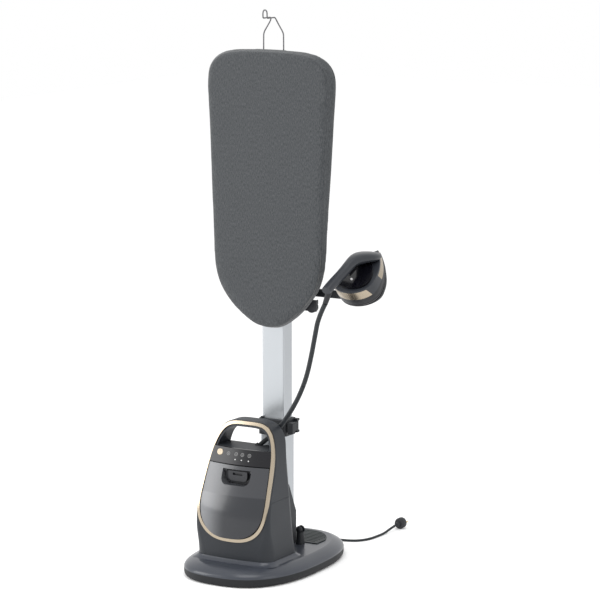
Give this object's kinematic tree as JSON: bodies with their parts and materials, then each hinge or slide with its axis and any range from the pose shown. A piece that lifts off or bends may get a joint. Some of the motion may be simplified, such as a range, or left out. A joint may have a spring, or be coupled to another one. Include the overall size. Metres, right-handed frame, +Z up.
{
  "type": "upright ironing station with clothes iron",
  "caption": "Steam iron docked beside a tilting ironing board on a telescopic column, over a boiler tower with a pull-out water tank, with a steam hose and a mains lead.",
  "frame": {"origin": "on the floor on the centre line of the telescopic column", "axes": "+Z is up, -Y is the front where the water tank and the board's ironing face look, +X is the side where the iron docks"},
  "size_m": [0.5801, 0.907, 1.65],
  "materials": {
    "rubber_black": "matt black rubber",
    "dark_lower": "near-black moulded plastic",
    "steel_plate": "black painted steel",
    "base_grey": "satin dark grey moulding",
    "deck_green": "dark greenish grey textured plastic",
    "column_alu": "satin anodised aluminium",
    "collar_grey": "dark grey plastic",
    "guide_white": "slippery pale plastic",
    "pin_steel": "plain steel",
    "tower_grey": "dark blue-grey moulding",
    "gold": "champagne gold satin metal",
    "panel_black": "gloss near-black",
    "print_white": "white print",
    "led_white": "light guide",
    "circuit": "green laminate",
    "tank_smoke": "smoked translucent plastic",
    "latch_grey": "dark translucent grey plastic",
    "pump_white": "off-white plastic",
    "boiler_steel": "drawn stainless steel",
    "element": "cast aluminium",
    "brass": "brass",
    "fabric_grey": "heather charcoal woven cover",
    "felt": "white felt",
    "back_grey": "dark grey moulding",
    "core": "moulded honeycomb core",
    "wire": "bright wire",
    "sole_steel": "polished soleplate",
    "iron_dark": "dark grey plastic",
    "iron_grey": "satin grey plastic",
    "iron_gloss": "gloss black",
    "hose_grey": "dark woven-look hose"
  },
  "bodies": {
    "stand": {"foot_ring": "rubber_black", "base_tray": "dark_lower", "ballast_plate": "steel_plate", "base_cover": "base_grey", "rear_deck": "deck_green", "cord_post": "collar_grey", "column_foot": "steel_plate", "lower_column": "column_alu", "guide_bush": "guide_white", "height_collar": "collar_grey", "lever_pin": "pin_steel", "tower_shell": "tower_grey", "tower_rear_shroud": "tower_grey", "trim_ring": "gold", "control_panel": "panel_black", "mode_icons": "print_white", "indicator_lights": "led_white", "control_board": "circuit", "tank_bay": "dark_lower", "pump": "pump_white", "boiler": "boiler_steel", "boiler_heater": "element", "steam_valve": "brass", "hose_gland": "rubber_black", "steam_hose_lower": "hose_grey", "mains_relief": "rubber_black", "mains_lead_near": "hose_grey", "mains_lead_far": "hose_grey", "mains_coil": "hose_grey", "plug_body": "rubber_black", "plug_pins": "brass"},
    "mast": {"upper_column": "column_alu", "column_cap": "collar_grey", "dock_arm": "collar_grey", "iron_rest": "collar_grey", "rest_pads": "rubber_black"},
    "board": {"board_cover": "fabric_grey", "board_felt": "felt", "board_core": "core", "board_back": "back_grey", "hinge_pin": "pin_steel"},
    "hook": {"hanger_hook": "wire"},
    "tilt_release": {"tilt_lever": "collar_grey"},
    "clamp": {"clamp_lever": "collar_grey"},
    "tank": {"water_tank": "tank_smoke", "tank_valve": "rubber_black"},
    "latch": {"tank_latch": "latch_grey"},
    "button": {"power_button": "gold"},
    "iron": {"soleplate": "sole_steel", "heater_block": "element", "iron_skirt": "iron_dark", "gold_band": "gold", "iron_shell": "iron_grey", "iron_neck": "iron_grey", "iron_handle": "iron_dark", "iron_top_insert": "iron_gloss", "iron_light": "led_white", "hose_relief": "rubber_black", "steam_hose_upper": "hose_grey"},
    "trigger": {"steam_trigger": "iron_gloss"}
  },
  "joints": [
    {"name": "height_slide", "type": "slide", "parent": "stand", "child": "mast", "axis": [0, 0, 1], "range_m": [-0.22, 0]},
    {"name": "board_tilt", "type": "hinge", "parent": "mast", "child": "board", "pos_m": [0, 0, 1.15], "axis": [1, 0, 0], "range_deg": [-90, 0]},
    {"name": "hook_slide", "type": "slide", "parent": "board", "child": "hook", "axis": [0, 0, 1], "range_m": [-0.045, 0]},
    {"name": "tilt_release_press", "type": "hinge", "parent": "board", "child": "tilt_release", "pos_m": [0.13, -0.017, 0.799], "axis": [1, 0, 0], "range_deg": [0, 22], "stiffness_Nm_per_rad": 0.3},
    {"name": "clamp_turn", "type": "hinge", "parent": "stand", "child": "clamp", "pos_m": [0.053, 0.025, 0.413], "axis": [0, 0, 1], "range_deg": [0, 100]},
    {"name": "tank_pull", "type": "slide", "parent": "stand", "child": "tank", "axis": [0, -1, 0], "range_m": [0, 0.15]},
    {"name": "latch_swing", "type": "hinge", "parent": "tank", "child": "latch", "pos_m": [0, -0.2196, 0.3165], "axis": [1, 0, 0], "range_deg": [-12, 0], "stiffness_Nm_per_rad": 0.2},
    {"name": "power_press", "type": "slide", "parent": "stand", "child": "button", "axis": [0, 0.9368, -0.3499], "range_m": [0, 0.0015], "stiffness_N_per_m": 500},
    {"name": "iron_lift", "type": "slide", "parent": "mast", "child": "iron", "axis": [-0.046, -0.6931, 0.7193], "range_m": [0, 0.08]},
    {"name": "trigger_press", "type": "hinge", "parent": "iron", "child": "trigger", "pos_m": [0.27836, -0.03741, 0.92248], "axis": [-0.9978, 0.0663, 0], "range_deg": [0, 3.5], "stiffness_Nm_per_rad": 2}
  ]
}
